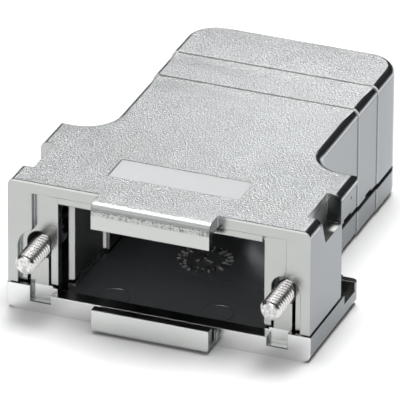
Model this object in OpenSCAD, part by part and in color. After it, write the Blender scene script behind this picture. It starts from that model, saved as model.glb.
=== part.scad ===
// Metal hood for a 15-way D-sub connector, with captive 4-40 jackscrews.
// The connector side faces -Y, the cable leaves at +Y, and the hood stands
// on the lower shell's flat underside. The origin lies on that underside,
// in the middle of the assembled hood.

/* [Overall] */
// Width across the wings of the upper shell
wing_w = 41.2; // [41:0.05:41.4]
// Height from the underside to the wing roofs
body_h = 18.6; // [18.4:0.1:19.4]
// Length from the front frame to the rear wall
body_l = 50.9; // [50:0.1:56]
// Depth of the wings behind the front frame
wing_d = 17.6; // [17.4:0.05:17.65]
// Height of the parting line above the underside
part_z = 3.77; // [3.65:0.01:3.85]
// Radius of the rounded upper and lower edges
edge_r = 1.05; // [0.7:0.05:1.1]

/* [Cable housing] */
// Half width of the narrowest cable-housing section
rear_a = 14.25; // [14.2:0.01:14.3]
// Growth of width and height at each transverse step
step_h = 0.13; // [0.08:0.01:0.16]
// Distance from the front frame to the first step
step_1 = 34.45; // [33:0.05:35]
// Distance from the front frame to the second step
step_2 = 41.4; // [40.5:0.05:41.6]
// Plan radius of the two rear corners
rear_r = 4.3; // [4:0.1:4.5]
// Plan radius of the hollow between wing and cable housing
neck_r = 4.3; // [4:0.05:4.4]
// Radius of the cable outlet
outlet_r = 5.5; // [5.2:0.05:5.6]
// Height of the cable axis above the underside
cable_z = 9.6; // [9.5:0.05:9.8]

/* [Front] */
// Half width of the lips that hook over the connector flange
lip_x = 8.03; // [7.5:0.01:8.5]
// Distance that the lips stand out of the frame
lip_out = 2.95; // [2.8:0.05:3.2]
// Wall thickness of the lips
lip_t = 1.3; // [1.2:0.05:1.4]
// Half width of the connector opening
open_x = 14.05; // [14:0.01:14.1]
// Height of the sill under the opening
sill_z = 2.62; // [2.5:0.02:2.7]
// Height of the lower edge of the lintel
lintel_z = 15.9; // [15.7:0.05:16.1]
// Depth of the screw plates behind the frame face
plate_in = 0.9; // [0.8:0.05:1]

/* [Jackscrews] */
// Distance between the jackscrew axes
screw_pitch = 33.32; // [33.28:0.01:33.36]
// Height of the jackscrew axes above the underside
screw_z = 8.75; // [8.7:0.01:8.8]
// Radius of the 4-40 thread's crest
thread_r = 1.42; // [1.38:0.01:1.43]
// Distance from the frame face to the screw tips
screw_out = 4.2; // [4:0.05:4.6]
// Half width of the slots in the screw plates
slot_r = 1.63; // [1.6:0.01:1.66]
// Radius of the knurled screw heads
head_r = 2; // [1.8:0.05:2]

/* [Label] */
// Width of the smooth label field
label_w = 18; // [12:0.1:20]
// Length of the smooth label field
label_l = 5.16; // [4:0.02:6]
// Depth of the smooth label field
label_d = 0.1; // [0.06:0.01:0.15]

/* [Hidden] */
$fn = 96;

wx = wing_w / 2;              // half width of the upper wings
wl = wx + 0.12;               // the lower shell is a little wider
sx = screw_pitch / 2;         // jackscrew axis
rear_b = rear_a + step_h;
rear_c = rear_a + 2 * step_h;
roof_t = 1.25;                // roof and floor thickness
lip_z = 15.03;                // lower edge of the upper lip
ramp = 0.11;                  // dip of the surface in front of each step
ceil_z = body_h - roof_t;
cav_x = 14;                   // connector cavity half width
cav_y = 16;                   // end of the connector cavity
skin_x = 13.1;                // cable-housing half width inside
wall_y = 1.6;                 // rear wall thickness
rib_y0 = 10.2;                // cross rib that guides the screw shank
rib_y1 = 11.3;
plate_y1 = 2.1;               // rear face of the screw plates
neck_x = rear_a + neck_r;
neck_y = wing_d + neck_r;
gap = 0.12;                   // half of the parting gap at the wings
joint_lo = part_z + 0.1;      // parting gap along the cable housing
joint_hi = part_z + 0.82;
wing_c = 0.9;                 // plan radius of the wings' rear corners
floor_r = 1.25;               // rounding of the lower shell's bottom edges
shank_r = 1.1;
ring_y = 5.6;
ring_t = 0.6;
head_y0 = rib_y1 + 0.15;
head_l = 4;
boss_x = 10.3;                // shell screws
boss_y = 24;
clamp_x = 9.3;                // strain-relief screws
clamp_y = 43.4;
post_z = 7.6;                 // top of the strain-relief posts
grip_r = 4.6;
// the reference frame: middle of the length over lips, screws and rear wall
ref_y = (body_l - screw_out) / 2;

module placed() { translate([0, -ref_y, 0]) children(); }

module both() { children(); mirror([1, 0, 0]) children(); }

// what a rounded edge takes away: the corner outside a quarter circle
module corner(r) {
    difference() {
        square([r + 1, r + 1]);
        circle(r = r);
    }
}

// rounds the edge that runs along Y at (+x, top z)
module round_y(x, z, y0, y1, r) {
    translate([x - r, y1, z - r]) rotate([90, 0, 0])
        linear_extrude(height = y1 - y0) corner(r);
}

// rounds the edge that runs along X at (+y, top z)
module round_x(y, z, x0, x1, r) {
    translate([x0, y - r, z - r]) rotate([90, 0, 90])
        linear_extrude(height = x1 - x0) corner(r);
}

// a length of cable housing: rounded upper edges, square lower edges
module housing(hx, z0, z1, y0, y1, r) {
    translate([0, y1, 0]) rotate([90, 0, 0]) linear_extrude(height = y1 - y0) {
        translate([-hx, z0]) square([2 * hx, z1 - z0 - r]);
        translate([-hx + r, z0]) square([2 * (hx - r), z1 - z0]);
        translate([-hx + r, z1 - r]) circle(r = r);
        translate([hx - r, z1 - r]) circle(r = r);
    }
}

// the same section turned over, for the lower shell
module tray(hx, z1, y0, y1, r) {
    translate([0, y1, 0]) rotate([90, 0, 0]) linear_extrude(height = y1 - y0) {
        translate([-hx, r]) square([2 * hx, z1 - r]);
        translate([-hx + r, 0]) square([2 * (hx - r), z1]);
        translate([-hx + r, r]) circle(r = r);
        translate([hx - r, r]) circle(r = r);
    }
}

// thin wedge that lowers a roof towards y1
module dip(y0, y1, z) {
    translate([-20, 0, 0]) rotate([90, 0, 90]) linear_extrude(height = 40)
        polygon([[y0, z], [y1 + 0.02, z - ramp], [y1 + 0.02, z + 1], [y0, z + 1]]);
}

// plan of the hollow side between wing and cable housing
module neck_block(z0, z1) {
    difference() {
        translate([-neck_x, cav_y, z0]) cube([2 * neck_x, neck_y - cav_y, z1 - z0]);
        both() translate([neck_x, neck_y, z0 - 1]) cylinder(r = neck_r, h = z1 - z0 + 2);
    }
}

// edge rounding round the hollow at the neck, top side
module neck_round(z, r) {
    translate([neck_x, neck_y, z - r]) rotate([0, 0, 180])
        rotate_extrude(angle = 90) translate([neck_r + r, 0]) mirror([1, 0]) corner(r);
}

// rounding of a rear corner, top side, with the vertical corner itself
module rear_corner(hx, z, r) {
    translate([hx - rear_r, body_l - rear_r, 0]) {
        difference() {
            translate([0, 0, -1]) cube([rear_r + 1, rear_r + 1, z + 3]);
            translate([0, 0, -2]) cylinder(r = rear_r, h = z + 5);
        }
        translate([0, 0, z - r]) rotate_extrude(angle = 90)
            translate([rear_r - r, 0]) corner(r);
    }
}

// takes away the square rear corner of a wing
module wing_corner(x, z0, z1) {
    translate([x - wing_c, wing_d - wing_c, z0]) difference() {
        cube([wing_c + 1, wing_c + 1, z1 - z0]);
        translate([0, 0, -1]) cylinder(r = wing_c, h = z1 - z0 + 2);
    }
}

// what an inner corner of plan radius r leaves standing
module inner_corner(x, y, r, z0, z1) {
    translate([x - r, y - r, z0]) difference() {
        cube([r + 1, r + 1, z1 - z0]);
        translate([0, 0, -1]) cylinder(r = r, h = z1 - z0 + 2);
    }
}

module upper_outer() {
    z0 = part_z + gap;
    zr = joint_hi;
    // wings, their roof and the neck
    difference() {
        union() {
            translate([-wx, 0, z0]) cube([wing_w, wing_d, body_h - z0]);
            neck_block(zr, body_h);
        }
        both() round_y(wx, body_h, -0.5, wing_d + 0.5, edge_r);
        both() round_x(wing_d, body_h, neck_x, wx + 1, edge_r);
        both() neck_round(body_h, edge_r);
        both() wing_corner(wx, z0 - 1, body_h + 1);
    }
    // cable housing in three steps; the roof dips a little before each step
    difference() {
        housing(rear_a, zr, body_h, neck_y, step_1, edge_r);
        dip(step_1 - 4, step_1, body_h);
        // pit in the casting
        translate([rear_a - 0.25, 32.2, 6.95]) rotate([0, 90, 0]) cylinder(r = 0.2, h = 1);
    }
    difference() {
        housing(rear_b, zr, body_h + step_h, step_1 - 0.01, step_2, edge_r);
        dip(step_2 - 4, step_2, body_h + step_h);
    }
    difference() {
        housing(rear_c, zr, body_h + 2 * step_h, step_2 - 0.01, body_l, edge_r);
        round_x(body_l, body_h + 2 * step_h, -rear_c + rear_r, rear_c - rear_r, edge_r);
        both() rear_corner(rear_c, body_h + 2 * step_h, edge_r);
    }
    // lip over the connector flange
    difference() {
        translate([-lip_x, -lip_out, lip_z]) cube([2 * lip_x, lip_out + 1, body_h - lip_z]);
        translate([-lip_x - 1, -lip_out + lip_t, 14]) cube([2 * lip_x + 2, lip_out - lip_t, 2.84]);
        mirror([0, 1, 0]) round_x(lip_out, body_h, -lip_x - 1, lip_x + 1, 1);
    }
}

// recess of the frame face round plate, slot and screw
module plate_recess() {
    translate([-0.5, 0]) square([17.8, 16.93]);
    translate([sx, 9.1]) circle(r = 2.6);
    translate([14, 0]) square([sx + 2.6 - 14, 9.1]);
}

module upper_shell() {
    color([0.78, 0.78, 0.77]) placed() {
        difference() {
            upper_outer();
            // connector cavity and cable housing
            translate([-cav_x, plate_y1, -1]) cube([2 * cav_x, cav_y - plate_y1, ceil_z + 1]);
            difference() {
                housing(skin_x, -1, ceil_z, cav_y - 0.5, body_l - wall_y, 0.6);
                both() inner_corner(skin_x, body_l - wall_y, 2.2, -2, 20);
            }
            // opening between the screw plates
            translate([-open_x, -1, -1]) cube([2 * open_x, plate_y1 + 2, lintel_z + 1]);
            // screw plates lie behind the frame face
            both() translate([0, plate_in, 0]) rotate([90, 0, 0])
                linear_extrude(height = 2) intersection() {
                    plate_recess();
                    translate([open_x - 0.1, 0]) square([10, 20]);
                }
            translate([-open_x, -0.7, lintel_z - 1]) cube([2 * open_x, 1, 17.0 - lintel_z + 1 - 0.07]);
            both() {
                // chamber behind each plate, with its way to the cavity
                translate([14.8, plate_y1, -1]) cube([4.7, rib_y0 - plate_y1, 14.6]);
                translate([14.8, plate_y1, -1]) cube([2.7, rib_y0 - plate_y1, ceil_z + 1]);
                translate([13.5, plate_y1, -1]) cube([1.5, 6.2 - plate_y1, ceil_z + 1]);
                wall_slant(6.2, 13.5, 14.8, ceil_z);
                wall_slant(cav_y, 12.9, cav_x, ceil_z);
                // open bay round the screw head, below the wing roof
                translate([14.8, rib_y1, -1]) cube([8, wing_d - rib_y1 + 0.01, ceil_z + 1]);
                // slot for the thread, and the one for the shank
                translate([sx - slot_r, -1, -1]) cube([2 * slot_r, 4, 9.55 + 1]);
                translate([sx, -1, 9.55]) rotate([-90, 0, 0]) cylinder(r = slot_r, h = 4);
                translate([sx - 1.3, 8, -1]) cube([2.6, 5, screw_z + 1]);
                translate([sx, 8, screw_z]) rotate([-90, 0, 0]) cylinder(r = 1.3, h = 5);
                // room for the head, and for a driver past the neck
                translate([sx, rib_y1, screw_z]) rotate([-90, 0, 0]) cylinder(r = 2.2, h = 14);
                // pocket in the edge of the wing
                wing_pocket();
            }
            // shallow notches in the lower edge of the cable housing
            both() for (n = [[29.5, 2.7], [37.2, 2.2]])
                translate([13.55, n[0], part_z]) cube([2, n[1], 1.18]);
            // label field
            translate([-label_w / 2, 5.08, body_h - label_d]) cube([label_w, label_l, 1]);
            // slot for the outlet tongue, round above the cable axis
            translate([-6.6, body_l - 3, -1]) cube([13.2, 5, cable_z + 1]);
            translate([0, body_l - 3, cable_z]) rotate([-90, 0, 0]) cylinder(r = outlet_r, h = 5);
        }
        // inner skirt that laps inside the lower shell
        both() difference() {
            translate([skin_x, cav_y, 1.95]) cube([0.4, 31, 4]);
            translate([skin_x - 1, 33, 0]) cube([3, 1, 3]);
        }
        both() {
            // cavity wall and its end, reaching down to the floor
            difference() {
                translate([cav_x, 6.2, 1.95]) cube([0.8, cav_y - 6.2, 4]);
                wall_slant(6.2, 13.5, 14.8, 8);
            }
            difference() {
                translate([skin_x, cav_y - 0.1, 1.95]) cube([1.4, 1.3, 4]);
                wall_slant(cav_y, 12.9, cav_x, 8);
            }
            // bosses of the shell screws
            difference() {
                translate([boss_x, boss_y, 3.9]) cylinder(r = 2.3, h = ceil_z - 3.5);
                translate([boss_x, boss_y, 3]) cylinder(r = 1.05, h = 9.5);
            }
            translate([boss_x + 1.9, boss_y - 0.5, 4.5]) cube([1.2, 1, ceil_z - 4]);
        }
    }
}

// takes away the front of a wall end so that it slants back towards the middle
module wall_slant(y, x0, x1, z) {
    translate([0, 0, -1]) linear_extrude(height = z + 1)
        polygon([[x0, y - 0.2], [x1, y - 0.2], [x1, y], [x0, y + (x1 - x0) * 0.4]]);
}

// side pocket: flat inner wall, slanted front, flat floor
module wing_pocket() {
    translate([18.62, 0, 0]) rotate([90, 0, 90]) linear_extrude(height = 4)
        polygon([[5.3, 14.66], [11.05, 14.66], [11.05, 20], [3.6, 20], [4.1, 17.7]]);
}

module lower_outer() {
    z1 = part_z - gap;
    zr = joint_lo;
    difference() {
        tray(wl, z1, 0, wing_d, floor_r);
        both() wing_corner(wl, -1, 8);
        // the rear edge of the wings is a little lower
        both() translate([14.9, wing_d - 1.1, 3.45]) cube([8, 3, 3]);
        // cut-out in the side wall beside the screw head
        both() translate([19, 12.3, 2.4]) cube([4, 3.9, 3]);
    }
    difference() {
        neck_block(0, zr);
        both() mirror([0, 0, 1]) neck_round(0, floor_r);
        translate([-20, 0, z1]) cube([40, wing_d + 0.15, 3]);
    }
    tray(rear_a, zr, neck_y, step_1 + 0.5, floor_r);
    tray(rear_b, zr, step_1, step_2 + 0.5, floor_r);
    difference() {
        tray(rear_c, zr, step_2, body_l, floor_r);
        both() rear_corner(rear_c, 30, edge_r);
        mirror([0, 0, 1]) round_x(body_l, 0, -rear_c + rear_r, rear_c - rear_r, floor_r);
        both() mirror([0, 0, 1]) translate([rear_c - rear_r, body_l - rear_r, -floor_r])
            rotate_extrude(angle = 90) translate([rear_r - floor_r, 0]) corner(floor_r);
    }
    // lip under the connector flange, with rounded lower corners
    difference() {
        translate([0, 1, 0.05]) tray(lip_x - 0.03, 3.4, -lip_out - 1, 0, 1);
        translate([-lip_x - 1, -lip_out + lip_t - 0.1, 1.15]) cube([2 * lip_x + 2, 1, 4]);
        translate([-lip_x - 1, -1, sill_z]) cube([2 * lip_x + 2, 3, 3]);
        translate([-lip_x - 1, -0.45, 2]) cube([2 * lip_x + 2, 0.45, 3]);
        mirror([0, 0, 1]) mirror([0, 1, 0]) round_x(lip_out, -0.05, -lip_x - 1, lip_x + 1, 0.8);
    }
}

module lower_shell() {
    color([0.76, 0.76, 0.75]) placed() {
        difference() {
            lower_outer();
            // inside of the tray
            translate([-cav_x - 0.1, plate_y1, roof_t]) cube([2 * cav_x + 0.2, cav_y - plate_y1 + 0.2, 6]);
            difference() {
                translate([-13.65, cav_y - 0.6, roof_t]) cube([27.3, body_l - wall_y - cav_y + 0.6, 6]);
                both() inner_corner(13.65, body_l - wall_y, 2.6, 0, 10);
            }
            translate([-14.6, cav_y - 0.6, roof_t]) cube([29.2, 1.6, 6]);
            both() {
                translate([13.9, plate_y1, roof_t]) cube([5.7, 14.1, 6]);
                // bay under the screw head
                translate([13.9, 12.3, roof_t]) cube([5.7, 3.9, 6]);
                // driver groove past the neck
                translate([sx, rib_y1, screw_z]) rotate([-90, 0, 0]) cylinder(r = 2.2, h = 14);
                // recess in the frame face in front of the tongue
                translate([14.75, -1, 1.55]) cube([2.85, 1 + plate_in, 6]);
                // countersunk hole of the shell screw
                translate([boss_x, boss_y, -1]) cylinder(r = 1.35, h = 8);
                translate([boss_x, boss_y, -1]) cylinder(r = 2.55, h = 1.2);
                translate([boss_x, boss_y, 0.199]) cylinder(r1 = 2.55, r2 = 1.35, h = 1.2);
                ejector_ring(10.6, 38);
            }
            // marks of the ejector pins
            ejector_ring(-8.1, 5.4);
            ejector_ring(5.8, 6.1);
            // sill of the connector opening
            translate([-14.75, -1, sill_z]) cube([29.5, plate_y1 + 2, 6]);
            // date ring: sunk centre
            translate([-1, 19.1, roof_t - 0.06]) cylinder(r = 1.7, h = 1);
        }
        both() {
            // tongue that closes the thread slot, with a saddle for the screw
            difference() {
                union() {
                    translate([sx - 1.3, plate_in, 1]) cube([2.5, 1.2, 6.6]);
                    translate([14.15, plate_in, 0.5]) cube([3.7, 1.2, 2.85]);
                }
                translate([sx, 0, screw_z]) rotate([-90, 0, 0]) cylinder(r = 1.5, h = 4);
            }
            // tongue that closes the shank slot in the cross rib
            difference() {
                translate([sx - 1.2, rib_y0, 0.5]) cube([2.4, rib_y1 - rib_y0, screw_z - 0.9]);
                translate([sx, 9, screw_z]) rotate([-90, 0, 0]) cylinder(r = 1.25, h = 4);
            }
            // low rib under the cavity wall
            translate([13.8, 6.1, 1]) cube([1.6, cav_y - 6.1, 0.62]);
            // seats of the shell screws
            difference() {
                translate([boss_x, boss_y, 1]) cylinder(r = 2.72, h = 2.75);
                translate([boss_x, boss_y, -1]) cylinder(r = 1.35, h = 8);
                translate([boss_x, boss_y, 0.199]) cylinder(r1 = 2.55, r2 = 1.35, h = 1.2);
            }
            // strain-relief posts
            difference() {
                union() {
                    translate([clamp_x, clamp_y, 1]) cylinder(r = 2.3, h = post_z - 1);
                    translate([clamp_x, clamp_y - 1, 1]) cube([3.7, 2, 2.4]);
                    translate([clamp_x, clamp_y - 1, 1]) cube([4.5, 2, 0.8]);
                }
                translate([clamp_x, clamp_y, 2]) cylinder(r = 1.05, h = 10);
            }
            // ribs that stiffen the floor
            translate([5.2, 28, 1]) cube([0.9, 8, 0.75]);
        }
        // cable saddle between the posts
        difference() {
            translate([-8, clamp_y - 1.5, 1]) cube([16, 3, 5.9]);
            translate([0, clamp_y - 3, cable_z]) rotate([-90, 0, 0]) cylinder(r = grip_r, h = 6);
        }
        // tongue of the cable outlet
        difference() {
            union() {
                translate([-6.5, body_l - wall_y, 1]) cube([13, wall_y - 0.1, cable_z - 1.05]);
                translate([-7.6, body_l - wall_y - 0.9, 1]) cube([15.2, 0.9, cable_z - 2.6]);
            }
            translate([0, body_l - 4, cable_z]) rotate([-90, 0, 0]) cylinder(r = outlet_r, h = 6);
        }
        date_ring();
    }
}

// shallow ring left on the floor by an ejector pin
module ejector_ring(x, y) {
    translate([x, y, roof_t - 0.1]) difference() {
        cylinder(r = 2.2, h = 1);
        translate([0, 0, -1]) cylinder(r = 2.03, h = 3);
    }
}

// raised ring of radial ticks round a plain arrow, as a mould insert leaves it
module date_ring() {
    translate([-1, 19.1, roof_t]) {
        for (i = [0 : 23]) rotate([0, 0, i * 15])
            translate([2.45 + 0.25 * (i % 2), -0.13, -0.2])
                cube([1.25 - 0.25 * (i % 2), 0.26, 0.42]);
        for (a = [100, 220, 340]) rotate([0, 0, a])
            translate([0.25, -0.15, -0.3]) cube([1.1, 0.3, 0.46]);
    }
}

// turned parts are drawn along +Z and laid along Y
module along_y(x, y, z) { translate([x, y, z]) rotate([-90, 0, 0]) children(); }

module jackscrew(s) {
    tail = head_y0 + head_l + screw_out;
    color([0.86, 0.86, 0.85]) placed() difference() {
        along_y(s * sx, -screw_out, screw_z) rotate_extrude() polygon([
            [0, 0], [thread_r - 0.36, 0], [thread_r, 0.36],
            [thread_r, screw_out - 0.05], [thread_r - 0.04, screw_out],
            [thread_r - 0.04, screw_out + 2.9], [shank_r, screw_out + 3.3],
            [shank_r, screw_out + ring_y - 0.04], [0.8, screw_out + ring_y - 0.04],
            [0.8, screw_out + ring_y + ring_t + 0.04], [shank_r, screw_out + ring_y + ring_t + 0.04],
            [shank_r, screw_out + head_y0], [head_r - 0.25, screw_out + head_y0],
            [head_r, screw_out + head_y0 + 0.25], [head_r, tail - 0.3],
            [head_r - 0.3, tail], [0, tail]]);
        // driver slot
        translate([s * sx - 3, head_y0 + head_l - 1.2, screw_z - 0.4]) cube([6, 2, 0.8]);
    }
}

module jackscrew_left() { jackscrew(-1); }
module jackscrew_right() { jackscrew(1); }

// open snap ring in the groove of the shank
module retaining_ring(s) {
    color([0.35, 0.36, 0.38]) placed() along_y(s * sx, ring_y, screw_z) difference() {
        cylinder(r = 1.75, h = ring_t);
        translate([0, 0, -1]) cylinder(r = 0.86, h = 3);
        translate([-0.6, 0, -1]) cube([1.2, 3, 3]);
        for (a = [-20, 200]) rotate([0, 0, a]) translate([1.62, 0, -1]) cylinder(r = 0.45, h = 3);
    }
}

module retaining_ring_left() { retaining_ring(-1); }
module retaining_ring_right() { retaining_ring(1); }

module cross_slot(w, l, d) {
    translate([-l / 2, -w / 2, -0.01]) cube([l, w, d]);
    translate([-w / 2, -l / 2, -0.01]) cube([w, l, d]);
}

// countersunk screw from below; its head lies 0.2 mm inside the underside
module shell_screw(s) {
    color([0.7, 0.7, 0.7]) placed() translate([s * boss_x, boss_y, 0.2]) difference() {
        rotate_extrude() polygon([[0, 0], [2.35, 0], [2.35, 0.08], [1.22, 1.21],
                                  [1.22, 3.6], [1.0, 3.75], [1.0, 10.4], [0.7, 10.8], [0, 10.8]]);
        cross_slot(0.5, 2.4, 0.9);
    }
}

module shell_screw_left() { shell_screw(-1); }
module shell_screw_right() { shell_screw(1); }

// bridge over the cable with two feet
module clamp_bar() {
    color([0.72, 0.72, 0.72]) placed() difference() {
        translate([0, clamp_y + 1.5, 0]) rotate([90, 0, 0]) linear_extrude(height = 3) {
            difference() {
                union() {
                    translate([-clamp_x - 2.2, post_z]) square([2 * clamp_x + 4.4, 1.6]);
                    translate([0, cable_z]) circle(r = grip_r + 1.4);
                }
                translate([0, cable_z]) circle(r = grip_r);
                translate([-20, 0]) square([40, post_z]);
                translate([-grip_r, 0]) square([2 * grip_r, cable_z]);
            }
        }
        both() translate([clamp_x, clamp_y, 0]) cylinder(r = 1.35, h = 20);
        // grip grooves across the inside of the arch
        for (y = [-0.75, 0.75]) translate([0, clamp_y + y - 0.2, cable_z])
            rotate([-90, 0, 0]) cylinder(r = grip_r + 0.25, h = 0.4);
    }
}

// pan-head screw of the strain relief
module clamp_screw(s) {
    color([0.8, 0.8, 0.8]) placed() translate([s * clamp_x, clamp_y, 0]) difference() {
        rotate_extrude() polygon([[0, 3.2], [0.7, 3.2], [1.0, 3.6], [1.0, post_z - 0.05],
                                  [1.22, post_z - 0.05], [1.22, post_z + 1.6], [2.2, post_z + 1.6],
                                  [2.2, post_z + 2.6], [1.7, post_z + 3.2], [0, post_z + 3.2]]);
        translate([0, 0, post_z + 3.21]) mirror([0, 0, 1]) cross_slot(0.55, 2.6, 1);
    }
}

module clamp_screw_left() { clamp_screw(-1); }
module clamp_screw_right() { clamp_screw(1); }

upper_shell();
lower_shell();
jackscrew_left();
jackscrew_right();
retaining_ring_left();
retaining_ring_right();
shell_screw_left();
shell_screw_right();
clamp_bar();
clamp_screw_left();
clamp_screw_right();
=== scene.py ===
import math

import bmesh
import bpy
from mathutils import Matrix, Vector


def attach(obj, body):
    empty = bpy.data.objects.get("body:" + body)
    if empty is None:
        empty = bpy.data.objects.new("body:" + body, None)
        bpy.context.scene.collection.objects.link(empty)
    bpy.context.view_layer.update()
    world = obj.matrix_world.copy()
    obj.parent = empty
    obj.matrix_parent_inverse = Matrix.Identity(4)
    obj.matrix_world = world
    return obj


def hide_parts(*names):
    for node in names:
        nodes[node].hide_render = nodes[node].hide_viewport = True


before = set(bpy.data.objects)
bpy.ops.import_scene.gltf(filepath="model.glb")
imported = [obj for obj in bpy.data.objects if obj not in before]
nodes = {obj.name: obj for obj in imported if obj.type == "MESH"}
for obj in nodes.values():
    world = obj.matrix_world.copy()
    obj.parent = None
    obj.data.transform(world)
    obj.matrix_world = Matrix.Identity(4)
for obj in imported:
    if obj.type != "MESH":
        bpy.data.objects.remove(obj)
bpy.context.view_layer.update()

MM = 0.001
REF_Y = 23.35         # the frame face lies this far behind the origin, mm
SX = 16.66            # jackscrew axes
SZ = 8.75


# ---------------------------------------------------------------- node helpers
class Mat:
    """Small helper round a material's node tree; positions are in mm, row frame."""

    def __init__(self, name):
        self.m = bpy.data.materials.new(name)
        self.m.use_nodes = True
        self.t = self.m.node_tree
        self.n = self.t.nodes
        self.bsdf = self.n["Principled BSDF"]
        tc = self.n.new("ShaderNodeTexCoord")
        sc = self.n.new("ShaderNodeVectorMath")
        sc.operation = "SCALE"
        sc.inputs["Scale"].default_value = 1000.0
        self.t.links.new(tc.outputs["Object"], sc.inputs[0])
        self.pos = sc.outputs[0]
        sep = self.n.new("ShaderNodeSeparateXYZ")
        self.t.links.new(self.pos, sep.inputs[0])
        self.x, self.y, self.z = sep.outputs
        g = self.n.new("ShaderNodeNewGeometry")
        sn = self.n.new("ShaderNodeSeparateXYZ")
        self.t.links.new(g.outputs["True Normal"], sn.inputs[0])
        self.nx, self.ny, self.nz = sn.outputs

    def put(self, sock, v):
        if isinstance(v, (int, float)):
            sock.default_value = v
        elif isinstance(v, (tuple, list)):
            sock.default_value = (*v, 1.0)[:4] if len(sock.default_value) == 4 else v
        else:
            self.t.links.new(v, sock)

    def math(self, op, a, b=None, clamp=False):
        k = self.n.new("ShaderNodeMath")
        k.operation = op
        k.use_clamp = clamp
        self.put(k.inputs[0], a)
        if b is not None:
            self.put(k.inputs[1], b)
        return k.outputs[0]

    def mul(self, *vs):
        out = vs[0]
        for v in vs[1:]:
            out = self.math("MULTIPLY", out, v)
        return out

    def up(self, v, lo, hi):
        """0 below lo, 1 above hi"""
        k = self.n.new("ShaderNodeMapRange")
        k.interpolation_type = "SMOOTHSTEP"
        self.put(k.inputs["Value"], v)
        k.inputs["From Min"].default_value = lo
        k.inputs["From Max"].default_value = hi
        return k.outputs["Result"]

    def down(self, v, lo, hi):
        return self.math("SUBTRACT", 1.0, self.up(v, lo, hi))

    def band(self, v, lo, hi, soft):
        return self.mul(self.up(v, lo - soft, lo + soft), self.down(v, hi - soft, hi + soft))

    def either(self, *vs):
        out = vs[0]
        for v in vs[1:]:
            out = self.math("MAXIMUM", out, v)
        return out

    def mix(self, f, a, b):
        k = self.n.new("ShaderNodeMix")
        k.data_type = "FLOAT"
        self.put(k.inputs[0], f)
        self.put(k.inputs[2], a)
        self.put(k.inputs[3], b)
        return k.outputs[0]

    def mixc(self, f, a, b):
        k = self.n.new("ShaderNodeMix")
        k.data_type = "RGBA"
        self.put(k.inputs[0], f)
        self.put(k.inputs[6], a)
        self.put(k.inputs[7], b)
        return k.outputs[2]

    def noise(self, scale, detail=2.0, rough=0.5, stretch=None):
        k = self.n.new("ShaderNodeTexNoise")
        k.inputs["Scale"].default_value = scale
        k.inputs["Detail"].default_value = detail
        k.inputs["Roughness"].default_value = rough
        v = self.pos
        if stretch:
            s = self.n.new("ShaderNodeVectorMath")
            s.operation = "MULTIPLY"
            s.inputs[1].default_value = stretch
            self.t.links.new(v, s.inputs[0])
            v = s.outputs[0]
        self.t.links.new(v, k.inputs["Vector"])
        return k.outputs[0]

    def voronoi(self, scale):
        k = self.n.new("ShaderNodeTexVoronoi")
        k.inputs["Scale"].default_value = scale
        self.t.links.new(self.pos, k.inputs["Vector"])
        return k.outputs["Distance"]

    def bevel(self, r_mm, samples=6):
        k = self.n.new("ShaderNodeBevel")
        k.samples = samples
        k.inputs["Radius"].default_value = r_mm * MM
        return k.outputs[0]

    def bump(self, height, dist_mm, strength=1.0, normal=None):
        k = self.n.new("ShaderNodeBump")
        k.inputs["Distance"].default_value = dist_mm * MM
        self.put(k.inputs["Strength"], strength)
        self.put(k.inputs["Height"], height)
        if normal is not None:
            self.t.links.new(normal, k.inputs["Normal"])
        return k.outputs[0]

    def done(self, colour, rough, normal=None, metallic=1.0):
        b = self.bsdf
        self.put(b.inputs["Base Color"], colour)
        self.put(b.inputs["Roughness"], rough)
        self.put(b.inputs["Metallic"], metallic)
        if normal is not None:
            self.t.links.new(normal, b.inputs["Normal"])
        return self.m


def yy(v):
    """mm behind the frame face -> row frame"""
    return v - REF_Y


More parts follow.
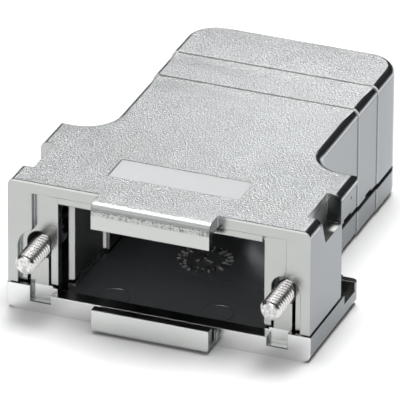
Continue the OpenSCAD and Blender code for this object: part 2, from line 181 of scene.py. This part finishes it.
def nickel_shell(name, upper):
    m = Mat(name)
    ax = m.math("ABSOLUTE", m.x)
    # hollows: painted shade; the metal there mirrors only itself, so its base colour is made darker, most of all
    # further in
    hollow = m.mul(m.band(m.x, -14.02, 14.02, 0.01), m.band(m.y, yy(2.05), yy(49.35), 0.02),
                   m.band(m.z, 0.8, 17.38, 0.02))
    hollow = m.mul(hollow, m.either(m.band(m.y, yy(1.0), yy(16.1), 0.05),
                                    m.band(m.x, -13.3, 13.3, 0.02)))
    deep_shade = m.mul(hollow, m.up(m.y, yy(9.0), yy(19.0)))
    chamber = m.mul(m.band(ax, 14.0, 19.55, 0.02),
                    m.band(m.y, yy(2.05), yy(11.4), 0.02), m.band(m.z, 1.2, 17.4, 0.02))
    slot = m.mul(m.band(ax, 15.0, 18.4, 0.03), m.band(m.y, yy(0.93), yy(2.2), 0.02),
                 m.band(m.z, 7.6, 11.4, 0.02))
    cavity_shade = m.mul(m.either(hollow, m.mul(chamber, m.down(m.nz, 0.5, 0.6)), slot),
                 m.up(m.ny, -0.85, -0.75))
    solid = m.math("SUBTRACT", 1.0, cavity_shade)
    anx = m.math("ABSOLUTE", m.nx)
    side = m.mul(m.up(anx, 0.75, 0.95), solid)
    # ends of the inner walls that face the opening, given a painted highlight
    post_highlight = m.mul(m.band(ax, 12.85, 14.85, 0.02), m.band(m.y, yy(6.0), yy(16.8), 0.02),
                 m.down(m.ny, -0.88, -0.84), m.down(m.z, 17.3, 17.36))
    # the parting gap along the cable housing, with painted shade on its walls and ledges
    seam_shade = m.mul(m.band(m.z, 3.84, 4.97, 0.02), m.up(m.y, yy(17.2), yy(17.4)),
                 m.either(m.band(ax, 13.3, 13.62, 0.02), m.up(m.math("ABSOLUTE", m.nz), 0.8, 0.9)))
    fine = m.noise(5.0, 3.0, 0.6)
    cloud = m.noise(0.35, 3.0, 0.5)
    base = m.mixc(cloud, (0.43, 0.44, 0.428), (0.47, 0.48, 0.465))
    # side faces: painted shade, a darker base colour than the front faces
    base = m.mixc(side, base, m.mixc(cloud, (0.205, 0.225, 0.239), (0.225, 0.244, 0.258)))
    if upper:
        # shot texture: the roof and the first millimetre of the lip's front
        roof = m.mul(m.up(m.nz, 0.965, 0.995), m.up(m.z, 17.9, 18.1))
        label = m.mul(m.band(m.x, -9.0, 9.0, 0.02), m.band(m.y, yy(5.08), yy(10.24), 0.02),
                      m.up(m.nz, 0.9, 0.95))
        strip = m.mul(m.down(m.y, yy(-2.75), yy(-2.65)), m.band(m.z, 16.95, 17.7, 0.12))
        shot = m.math("MULTIPLY", m.either(roof, m.mul(strip, 0.7)),
                      m.math("SUBTRACT", 1.0, label))
        grain = m.voronoi(3.9)
        grit = m.noise(5.2, 3.0, 0.65)
        height = m.math("ADD", m.math("MULTIPLY", grain, 0.9), grit)
        bump_h = m.mix(shot, m.math("MULTIPLY", fine, 0.03), height)
        speck = m.up(m.noise(5.6, 2.0, 0.6), 0.38, 0.64)
        # the shot colour: darker towards the front and the left, with random cloudy tone
        roof_tone_ramp = m.math("ADD", m.mul(m.up(m.y, yy(2.0), yy(44.0)), 0.75), m.mul(m.up(m.x, -16.0, 16.0), 0.25))
        roof_tone_ramp = m.math("ADD", roof_tone_ramp, m.mul(m.math("SUBTRACT", cloud, 0.5), 0.9), True)
        shotc = m.mixc(speck, m.mixc(roof_tone_ramp, (0.33, 0.338, 0.342), (0.50, 0.51, 0.515)),
                       m.mixc(roof_tone_ramp, (0.70, 0.71, 0.712), (0.90, 0.91, 0.915)))
        colour = m.mixc(shot, base, shotc)
        # the rounded long edges of the roof: painted reflection, a grey band, then a painted highlight line and
        # a near-black painted shade line at their foot
        fillet_reflection = m.mul(m.band(anx, 0.10, 0.90, 0.02), m.up(m.nz, 0.3, 0.32), m.up(m.z, 17.4, 17.5),
                       m.down(m.nz, 0.993, 0.999))
        colour = m.mixc(fillet_reflection, colour, (0.40, 0.41, 0.42))
        colour = m.mixc(m.mul(m.band(m.nz, 0.16, 0.30, 0.03), m.up(anx, 0.9, 0.93), m.up(m.z, 17.4, 17.5)),
                        colour, (0.62, 0.64, 0.66))
        colour = m.mixc(m.mul(m.band(m.nz, 0.03, 0.14, 0.02), m.up(anx, 0.9, 0.93), m.up(m.z, 17.2, 17.3)),
                        colour, (0.09, 0.095, 0.10))
        # front edge of the roof: a painted shade line above, a painted highlight line on the face
        wide = m.up(ax, 8.05, 8.1)
        colour = m.mixc(m.mul(wide, m.up(m.nz, 0.9, 0.95), m.down(m.y, yy(0.12), yy(0.18)), m.up(m.z, 18, 18.2)),
                        colour, (0.16, 0.165, 0.17))
        colour = m.mixc(m.mul(wide, m.down(m.ny, -0.95, -0.9), m.band(m.z, 18.28, 18.5, 0.05),
                              m.down(m.y, yy(0.1), yy(0.2))), colour, (0.62, 0.63, 0.61))
        # painted light: a lighter base colour on the lip's front face
        lipface_lit = m.mul(m.down(m.ny, -0.95, -0.9), m.down(m.y, yy(-2.9), yy(-2.8)))
        colour = m.mixc(lipface_lit, colour, (0.52, 0.53, 0.515))
        colour = m.mixc(label, colour, (0.57, 0.58, 0.585))
        tick = m.up(m.noise(5.0, 2.0, 0.6, (1.0, 1.0, 0.2)), 0.48, 0.62)
        colour = m.mixc(m.mul(strip, tick, 0.75), colour, (0.20, 0.20, 0.197))
        # painted highlight: near-white lines where the housing's steps cross the rounded edges
        step_arc_highlight = m.mul(m.either(m.band(m.y, yy(34.42), yy(34.52), 0.03), m.band(m.y, yy(41.37), yy(41.47), 0.03)),
                    m.up(m.z, 17.6, 17.7), m.up(ax, 13.5, 13.6))
        colour = m.mixc(step_arc_highlight, colour, (0.97, 0.97, 0.96))
        # the wing pocket's walls, with painted shade high up towards the inner side
        pocket = m.mul(m.band(ax, 18.5, 20.59, 0.01), m.band(m.y, yy(3.4), yy(11.2), 0.02),
                       m.band(m.z, 14.5, 18.3, 0.02), m.down(m.nz, 0.8, 0.9), m.up(m.x, 0.0, 0.1))
        shade_p = m.mul(m.up(m.z, 15.2, 18.0), m.down(m.x, 18.9, 20.2))
        colour = m.mixc(pocket, colour, m.mixc(shade_p, (0.12, 0.125, 0.13), (0.42, 0.43, 0.42)))
        # painted highlight: a light patch on a ledge in the wing pocket
        pocket_highlight = m.mul(m.up(m.nz, 0.9, 0.95), m.band(m.z, 14.5, 14.8, 0.02), m.up(m.x, 19.3, 20.5),
                     m.band(m.y, yy(8.6), yy(10.4), 0.6))
        colour = m.mixc(pocket_highlight, colour, (0.75, 0.75, 0.74))
        rough = m.mix(shot, m.mix(label, m.mix(fine, 0.17, 0.24), 0.34), 0.30)
        rough = m.mix(m.either(step_arc_highlight, pocket_highlight), rough, 0.75)
        # the lip's rounded front edge shines as one soft band
        brow = m.mul(m.down(m.y, yy(-1.9), yy(-1.8)), m.up(m.nz, 0.12, 0.25), m.down(m.nz, 0.975, 0.995),
                     m.up(m.z, 16.5, 16.7))
        rough = m.mix(brow, rough, 0.40)
        colour = m.mixc(brow, colour, (0.58, 0.59, 0.58))
    else:
        bump_h = m.math("MULTIPLY", fine, 0.03)
        # the sill's front: painted light, a much lighter base colour, lightest at the bottom
        front = m.mul(m.down(m.ny, -0.8, -0.7), m.band(m.y, yy(-0.3), yy(1.0), 0.02))
        front = m.mul(front, m.down(m.z, 3.55, 3.65))
        colour = m.mixc(front, base, m.mixc(m.up(m.z, 0.6, 3.2), (0.86, 0.868, 0.857), (0.80, 0.81, 0.80)))
        # the lower lip's front: painted light, a lighter base colour
        lip = m.mul(m.down(m.ny, -0.8, -0.7), m.down(m.y, yy(-2.9), yy(-2.8)))
        colour = m.mixc(lip, colour, (0.66, 0.672, 0.66))
        # the foot of the recess in front of each tongue: painted shade, near black
        foot = m.mul(m.down(m.ny, -0.9, -0.8), m.band(m.z, 1.40, 1.56, 0.03), m.band(ax, 14.7, 17.65, 0.03))
        colour = m.mixc(foot, colour, (0.05, 0.051, 0.052))
        # side faces: painted shade, a darker base colour than the front faces
        colour = m.mixc(side, colour, (0.185, 0.203, 0.215))
        rough = m.mix(fine, 0.17, 0.24)
        # ticks of the date ring; their painted glints come further down
        dx = m.math("ADD", m.x, 1.0)
        dy = m.math("SUBTRACT", m.y, yy(19.1))
        rr = m.math("ADD", m.mul(dx, dx), m.mul(dy, dy))
        ticks = m.mul(m.down(rr, 18.0, 19.0), m.up(m.z, 1.27, 1.29))
    # painted shade in the cavities: a mid-grey base colour, much darker further in
    colour = m.mixc(cavity_shade, colour, (0.36, 0.37, 0.385))
    colour = m.mixc(m.mul(deep_shade, m.down(m.nz, 0.9, 0.95)), colour, (0.10, 0.104, 0.11))
    rough = m.mix(cavity_shade, rough, m.mix(m.mul(m.up(m.nz, 0.9, 0.95), m.down(m.y, yy(9.0), yy(19.0))), 0.15, 0.45))
    rough = m.mix(m.mul(deep_shade, m.down(m.nz, 0.9, 0.95)), rough, 0.55)
    # the cavities' side walls: painted shade, a still darker base colour
    wall = m.mul(cavity_shade, m.up(anx, 0.85, 0.95))
    colour = m.mixc(wall, colour, (0.15, 0.155, 0.16))
    rough = m.mix(wall, rough, 0.42)
    # painted highlight: a near-white base colour on the ends of the inner walls
    colour = m.mixc(post_highlight, colour, (0.97, 0.98, 0.97))
    rough = m.mix(post_highlight, rough, 0.32)
    # painted shade in the parting gap
    colour = m.mixc(seam_shade, colour, (0.13, 0.135, 0.14))
    metal = m.mix(m.either(cavity_shade, seam_shade), 1.0, 0.45)
    metal = m.mix(wall, metal, 0.12)
    if not upper:
        # painted glints on the date ring's ticks: random near-white and darker patches
        painted_glint = m.up(m.noise(1.6, 2.0, 0.6), 0.44, 0.54)
        colour = m.mixc(ticks, colour, m.mixc(painted_glint, (0.10, 0.10, 0.105), (1.0, 1.0, 0.99)))
        metal = m.mix(ticks, metal, 0.05)
    # the housing's transverse steps: a painted highlight, a soft lighter line down the side
    steps = m.mul(m.either(m.band(m.y, yy(34.38), yy(34.58), 0.03), m.band(m.y, yy(41.33), yy(41.53), 0.03)),
                  m.up(ax, 14.15, 14.2), m.down(m.z, 17.4, 17.5), m.math("SUBTRACT", 1.0, seam_shade))
    colour = m.mixc(steps, colour, (0.42, 0.43, 0.44))
    normal = m.bump(bump_h, 0.095, 1.0, m.bevel(0.16))
    # the wall ends are drawn off upwards, so that they catch the light in front
    lean = m.n.new("ShaderNodeVectorMath")
    lean.operation = "ADD"
    m.t.links.new(normal, lean.inputs[0])
    tilt = m.n.new("ShaderNodeCombineXYZ")
    m.put(tilt.inputs[2], m.mul(post_highlight, 0.45))
    m.t.links.new(tilt.outputs[0], lean.inputs[1])
    unit = m.n.new("ShaderNodeVectorMath")
    unit.operation = "NORMALIZE"
    m.t.links.new(lean.outputs[0], unit.inputs[0])
    normal = unit.outputs[0]
    return m.done(colour, rough, normal, metal)


def plain_metal(name, colour_a, colour_b, r_lo, r_hi, bevel, stretch=None, scale=3.0, bump=0.01,
                tip=False):
    m = Mat(name)
    n = m.noise(scale, 3.0, 0.6, stretch)
    colour = m.mixc(n, colour_a, colour_b)
    if tip:
        # the cut end of the thread is dull and uneven
        end = m.mul(m.down(m.ny, -0.97, -0.9), m.down(m.y, yy(-4.0), yy(-3.9)))
        blot = m.up(m.noise(1.6, 3.0, 0.6), 0.40, 0.62)
        colour = m.mixc(end, colour, m.mixc(blot, (0.42, 0.42, 0.415), (0.74, 0.735, 0.73)))
    return m.done(colour, m.mix(n, r_lo, r_hi), m.bump(n, bump, 1.0, m.bevel(bevel)))


UPPER = nickel_shell("upper_nickel", True)
LOWER = nickel_shell("lower_nickel", False)
SCREW = plain_metal("screw_steel", (0.62, 0.61, 0.60), (0.76, 0.75, 0.74), 0.18, 0.28, 0.03,
                    (1.0, 6.0, 1.0), 2.0, 0.012, tip=True)
RING = plain_metal("ring_steel", (0.22, 0.23, 0.25), (0.34, 0.35, 0.37), 0.35, 0.5, 0.04)
SMALL = plain_metal("small_screw", (0.60, 0.61, 0.62), (0.72, 0.72, 0.72), 0.22, 0.34, 0.06)
CLAMP = plain_metal("clamp_nickel", (0.62, 0.62, 0.62), (0.74, 0.74, 0.73), 0.14, 0.24, 0.12)


# ---------------------------------------------------------------- mesh helpers
def new_object(name, bm, mat, smooth_deg=30.0):
    bmesh.ops.recalc_face_normals(bm, faces=bm.faces)
    me = bpy.data.meshes.new(name)
    bm.to_mesh(me)
    bm.free()
    o = bpy.data.objects.new(name, me)
    bpy.context.scene.collection.objects.link(o)
    me.materials.append(mat)
    shade(me, smooth_deg)
    return o


def shade(me, deg):
    """smooth shading, sharp where faces meet at more than deg"""
    bm = bmesh.new()
    bm.from_mesh(me)
    lim = math.radians(deg)
    for f in bm.faces:
        f.smooth = True
    for e in bm.edges:
        e.smooth = len(e.link_faces) == 2 and e.calc_face_angle(3.0) < lim
    bm.to_mesh(me)
    bm.free()


def shell_copy(node, name, mat):
    """the CAD shell as one welded surface with clean flat faces"""
    src = nodes[node]
    bm = bmesh.new()
    bm.from_mesh(src.data)
    bmesh.ops.remove_doubles(bm, verts=bm.verts, dist=2e-6)
    bmesh.ops.dissolve_limit(bm, angle_limit=math.radians(0.3), verts=bm.verts, edges=bm.edges)
    bmesh.ops.triangulate(bm, faces=bm.faces)
    return new_object(name, bm, mat, 22.0)


def tri(p):
    """triangle wave 0..1..0 over one period"""
    p = p % 1.0
    return 1.0 - abs(2.0 * p - 1.0)


def jackscrew_body(name, s):
    """threaded end, shank, groove and knurled head as one surface of rings"""
    x0, y0 = s * SX, yy(-4.2)
    pitch, crest, root = 0.635, 1.42, 1.42 - 0.36
    n = 96
    rings = []

    def ring(y, rad):
        """y mm from the tip; rad(theta) in mm"""
        rings.append((y, [rad(2 * math.pi * i / n) for i in range(n)]))

    def thread(y):
        def r(th):
            ph = (y / pitch - th / (2 * math.pi)) % 1.0
            v = tri(ph)                      # 1 at the crest
            v = min(1.0, max(0.0, (v - 0.10) / 0.72))
            rr = root + (crest - root) * v
            cone = crest - 0.36 + y          # chamfer at the tip
            run = crest - max(0.0, (y - 6.9)) * 1.2
            return max(min(rr, cone, run), 0.98) if y > 0.05 else min(rr, crest - 0.36)
        return r

    y = 0.0
    while y < 7.1:
        ring(y, thread(y))
        y += pitch / 14
    for yv, rv in ((7.3, 1.1), (9.76, 1.1), (9.76, 0.8), (10.24, 0.8), (10.24, 1.1),
                   (15.65, 1.1), (15.65, 1.70)):
        ring(yv, lambda th, rv=rv: rv)
    knurl = 24

    def head(scale):
        return lambda th: scale - 0.13 * (1.0 - tri(knurl * th / (2 * math.pi)))
    ring(15.9, head(2.0))
    ring(19.35, head(2.0))
    ring(19.65, lambda th: 1.68)
    bm = bmesh.new()
    rows = []
    for yv, rs in rings:
        rows.append([bm.verts.new(((x0 + r * math.cos(2 * math.pi * i / n)) * MM,
                                   (y0 + yv) * MM,
                                   (SZ - r * math.sin(2 * math.pi * i / n)) * MM))
                     for i, r in enumerate(rs)])
    for a, b in zip(rows, rows[1:]):
        for i in range(n):
            j = (i + 1) % n
            bm.faces.new((a[i], a[j], b[j], b[i]))
    bm.faces.new(rows[0][::-1])
    bm.faces.new(rows[-1])
    o = new_object(name, bm, SCREW, 25.0)
    # driver slot
    cut = bmesh.new()
    bmesh.ops.create_cube(cut, size=1.0)
    for v in cut.verts:
        v.co = Vector(((x0 + v.co.x * 6.0) * MM, (yy(15.45) + v.co.y * 2.4) * MM,
                       (SZ + v.co.z * 0.8) * MM))
    me = bpy.data.meshes.new("slot_cut")
    cut.to_mesh(me)
    cut.free()
    c = bpy.data.objects.new("slot_cut", me)
    bpy.context.scene.collection.objects.link(c)
    md = o.modifiers.new("slot", "BOOLEAN")
    md.operation, md.object, md.solver = "DIFFERENCE", c, "EXACT"
    bpy.context.view_layer.update()
    dg = bpy.context.evaluated_depsgraph_get()
    made = bpy.data.meshes.new_from_object(o.evaluated_get(dg))
    o.modifiers.clear()
    o.data = made
    bpy.data.objects.remove(c)
    if not made.materials:
        made.materials.append(SCREW)
    shade(made, 25.0)
    return o


# ---------------------------------------------------------------- pieces
upper = shell_copy("upper_shell", "upper_shell_skin", UPPER)
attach(upper, "hood")
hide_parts("upper_shell")
lower = shell_copy("lower_shell", "lower_shell_skin", LOWER)
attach(lower, "hood")
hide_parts("lower_shell")

for side, s in (("left", -1), ("right", 1)):
    o = jackscrew_body("jackscrew_%s_threaded" % side, s)
    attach(o, side + "_jackscrew")
    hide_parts("jackscrew_" + side)

for n, mat in (("retaining_ring_left", RING), ("retaining_ring_right", RING),
               ("shell_screw_left", SMALL), ("shell_screw_right", SMALL),
               ("clamp_bar", CLAMP), ("clamp_screw_left", SMALL), ("clamp_screw_right", SMALL)):
    d = nodes[n].data
    d.materials.clear()
    d.materials.append(mat)

# ---------------------------------------------------------------- stage
def plane(name, size, loc, mat):
    bm = bmesh.new()
    bmesh.ops.create_grid(bm, x_segments=1, y_segments=1, size=size / 2)
    me = bpy.data.meshes.new(name)
    bm.to_mesh(me)
    bm.free()
    o = bpy.data.objects.new(name, me)
    o.location = loc
    me.materials.append(mat)
    bpy.context.scene.collection.objects.link(o)
    return o


paper = Mat("pale_paper")
pn = paper.noise(0.12, 2.0, 0.5)
paper.done(paper.mixc(pn, (0.88, 0.88, 0.88), (0.90, 0.90, 0.90)), 0.6,
           paper.bump(paper.noise(2.0, 2.0, 0.5), 0.004), 0.0)
paper.bsdf.inputs["Specular IOR Level"].default_value = 0.1
floor = plane("floor", 1.2, (0, 0, 0), paper.m)


def softbox(name, loc, aim, size_x, size_y, watts, colour=(1, 1, 1)):
    li = bpy.data.lights.new(name, "AREA")
    li.shape = "RECTANGLE"
    li.size, li.size_y = size_x, size_y
    li.energy = watts
    li.color = colour
    o = bpy.data.objects.new(name, li)
    bpy.context.scene.collection.objects.link(o)
    o.location = loc
    d = Vector(aim) - Vector(loc)
    o.rotation_euler = d.to_track_quat("-Z", "Y").to_euler()
    return o


world = bpy.data.worlds.new("studio")
bpy.context.scene.world = world
bpy.context.scene.view_settings.view_transform = "Standard"
world.use_nodes = True
world.node_tree.nodes["Background"].inputs[0].default_value = (0.9, 0.95, 1.0, 1.0)
world.node_tree.nodes["Background"].inputs[1].default_value = 0.035

# overhead, back left from 24 degrees up, and a front fill behind the camera
softbox("top", (0.02, 0.12, 0.80), (0, 0, 0), 0.50, 0.50, 9.2)
softbox("back", (-0.62, 0.82, 0.64), (0, 0, 0.02), 0.90, 0.34, 1.9)
softbox("left", (-0.35, -0.70, 0.65), (0, 0, 0.01), 0.70, 0.50, 1.0)
softbox("front", (0.10, -1.0, 0.56), (0, 0, 0), 1.0, 0.34, 1.3)

# ---------------------------------------------------------------- camera
d = Vector((0.32039127, -0.82884861, 0.45864955))
R = Vector((0.93178375, 0.36297861, 0.005056))
U = Vector((-0.17067064, 0.4257423, 0.88860285))
T = Vector((-0.00192618, -0.00378043, 0.00956769))
cam = bpy.data.cameras.new("camera")
cam.sensor_width = 36.0
cam.lens = 698.04549
cam.clip_start, cam.clip_end = 0.05, 10.0
co = bpy.data.objects.new("camera", cam)
bpy.context.scene.collection.objects.link(co)
rot = Matrix((R, U, d)).transposed().to_4x4()
co.matrix_world = Matrix.Translation(T + d * 1.0) @ rot
bpy.context.scene.camera = co
